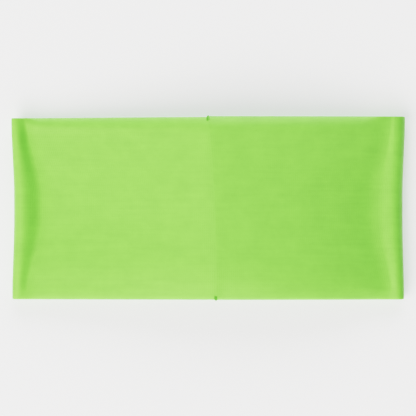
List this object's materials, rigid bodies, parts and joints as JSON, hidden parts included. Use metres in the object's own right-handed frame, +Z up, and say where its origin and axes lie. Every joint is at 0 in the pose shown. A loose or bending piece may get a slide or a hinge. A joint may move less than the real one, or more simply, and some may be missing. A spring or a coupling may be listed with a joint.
{
  "type": "sweat wristband",
  "caption": "Stretch-knit tube lined with terry, hemmed at both edges and closed by one join, worn round the wrist and here lying flat.",
  "frame": {"origin": "under the middle of the band, on the surface that it lies on", "axes": "+X along the flat width from fold to fold, +Y along the arm that goes through the band, +Z up from the surface"},
  "size_m": [0.082, 0.0386, 0.0092],
  "materials": {
    "shell_knit": "smooth satin-faced stretch knit, lime green",
    "terry": "looped cotton terry, lime green",
    "sewing_thread": "spun polyester sewing thread, lime green"
  },
  "bodies": {
    "root": {"outer_shell": "shell_knit", "terry_lining": "terry", "face_join_thread": "sewing_thread", "inner_join_thread": "sewing_thread", "top_hem_thread": "sewing_thread", "bottom_hem_thread": "sewing_thread", "top_join_tack": "sewing_thread", "bottom_join_tack": "sewing_thread"}
  },
  "joints": []
}
